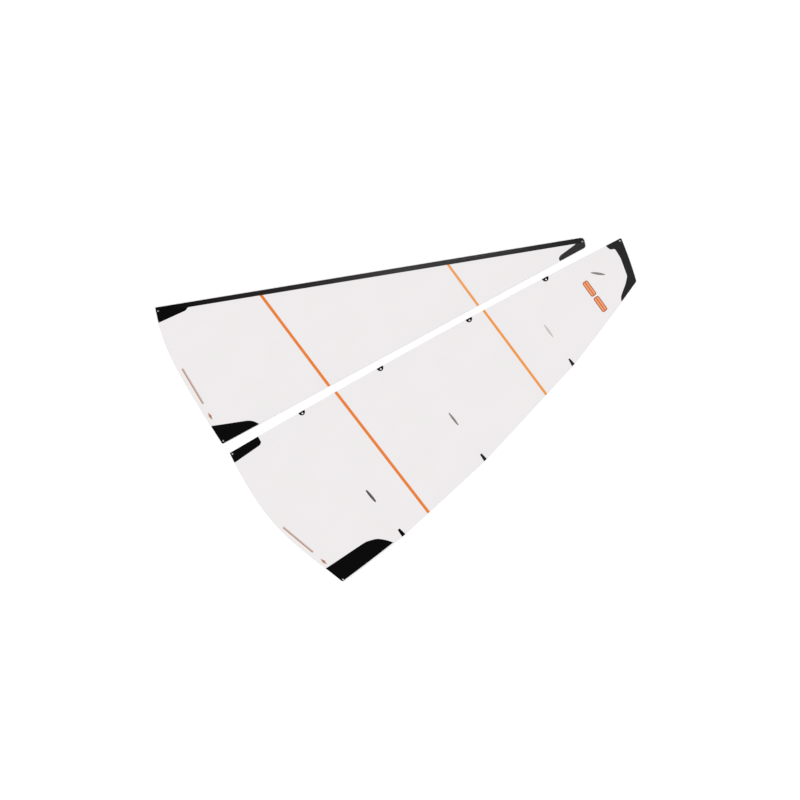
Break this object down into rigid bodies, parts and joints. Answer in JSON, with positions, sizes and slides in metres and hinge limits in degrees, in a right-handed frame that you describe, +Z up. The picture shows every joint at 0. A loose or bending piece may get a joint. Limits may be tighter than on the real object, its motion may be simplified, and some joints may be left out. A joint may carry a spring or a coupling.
{
  "type": "model yacht sail set",
  "caption": "Jib and mainsail for a radio-controlled model yacht, laid out flat: film panels, seam tapes, corner patches, eyelets, battens and a jib luff sleeve.",
  "frame": {"origin": "under the middle of the laid-out set, on the surface that both sails lie on", "axes": "+X along the mainsail's luff from tack to head, +Y from the mainsail to the jib, +Z up off the surface"},
  "size_m": [1.0846, 0.7946, 0.0024],
  "materials": {
    "sail_film": "thin white polyester film, slightly glossy, faint ripple",
    "seam_tape": "orange adhesive film tape",
    "patch_black": "black adhesive sailcloth, fine weave",
    "patch_charcoal": "charcoal adhesive sailcloth, fine weave",
    "luff_sleeve_tape": "black to charcoal cloth tape folded over the luff",
    "eyelet_metal": "nickel-plated brass, rolled rim",
    "batten_strip": "thin translucent glass-fibre strip",
    "batten_patch_grey": "grey adhesive film",
    "mark_orange": "thin printed orange",
    "mark_grey": "thin printed grey"
  },
  "bodies": {
    "mainsail": {"mainsail_middle_panel": "sail_film", "mainsail_lower_seam_tape": "seam_tape", "mainsail_upper_seam_tape": "seam_tape", "luff_hole_patch_2": "patch_black", "luff_hole_patch_3": "patch_black", "batten_2": "batten_strip", "batten_tip_patch_2": "batten_patch_grey", "batten_leech_tab_2": "patch_black"},
    "mainsail_lower": {"mainsail_lower_panel": "sail_film", "mainsail_tack_patch": "patch_black", "mainsail_clew_patch": "patch_black", "mainsail_tack_eyelet": "eyelet_metal", "mainsail_clew_eyelet": "eyelet_metal", "luff_hole_patch_1": "patch_black", "batten_1": "batten_strip", "batten_tip_patch_1": "batten_patch_grey", "batten_leech_tab_1": "patch_black", "mainsail_foot_stripe": "mark_orange", "mainsail_foot_pinstripe": "mark_grey"},
    "mainsail_upper": {"mainsail_upper_panel": "sail_film", "mainsail_head_patch": "patch_charcoal", "mainsail_head_eyelet": "eyelet_metal", "luff_hole_patch_4": "patch_black", "batten_3": "batten_strip", "batten_4": "batten_strip", "batten_tip_patch_3": "batten_patch_grey", "batten_tip_patch_4": "batten_patch_grey", "batten_leech_tab_3": "patch_black", "mainsail_head_mark": "mark_orange"},
    "jib": {"jib_middle_panel": "sail_film", "jib_lower_seam_tape": "seam_tape", "jib_upper_seam_tape": "seam_tape", "jib_middle_luff_sleeve": "luff_sleeve_tape"},
    "jib_lower": {"jib_lower_panel": "sail_film", "jib_lower_luff_sleeve": "luff_sleeve_tape", "jib_tack_patch": "patch_black", "jib_clew_patch": "patch_black", "jib_tack_eyelet": "eyelet_metal", "jib_clew_eyelet": "eyelet_metal", "jib_foot_stripe": "mark_orange", "jib_foot_pinstripe": "mark_grey"},
    "jib_upper": {"jib_upper_panel": "sail_film", "jib_upper_luff_sleeve": "luff_sleeve_tape", "jib_head_patch": "patch_charcoal", "jib_head_eyelet": "eyelet_metal"}
  },
  "joints": [
    {"name": "jib_lift", "type": "slide", "parent": "mainsail", "child": "jib", "axis": [0, 0, 1], "range_m": [0, 0.3]},
    {"name": "mainsail_lower_fold", "type": "hinge", "parent": "mainsail", "child": "mainsail_lower", "pos_m": [-0.21065, -0.1731, 0.00065], "axis": [-0.1547, 0.988, 0], "range_deg": [0, 60]},
    {"name": "mainsail_upper_fold", "type": "hinge", "parent": "mainsail", "child": "mainsail_upper", "pos_m": [0.19022, -0.11313, 0.00065], "axis": [0.1374, -0.9905, 0], "range_deg": [0, 60]},
    {"name": "jib_lower_fold", "type": "hinge", "parent": "jib", "child": "jib_lower", "pos_m": [-0.26656, 0.17506, 0.0024], "axis": [-0.1409, 0.99, 0], "range_deg": [0, 60]},
    {"name": "jib_upper_fold", "type": "hinge", "parent": "jib", "child": "jib_upper", "pos_m": [0.15718, 0.10322, 0.0024], "axis": [0.1305, -0.9914, 0], "range_deg": [0, 60]}
  ]
}
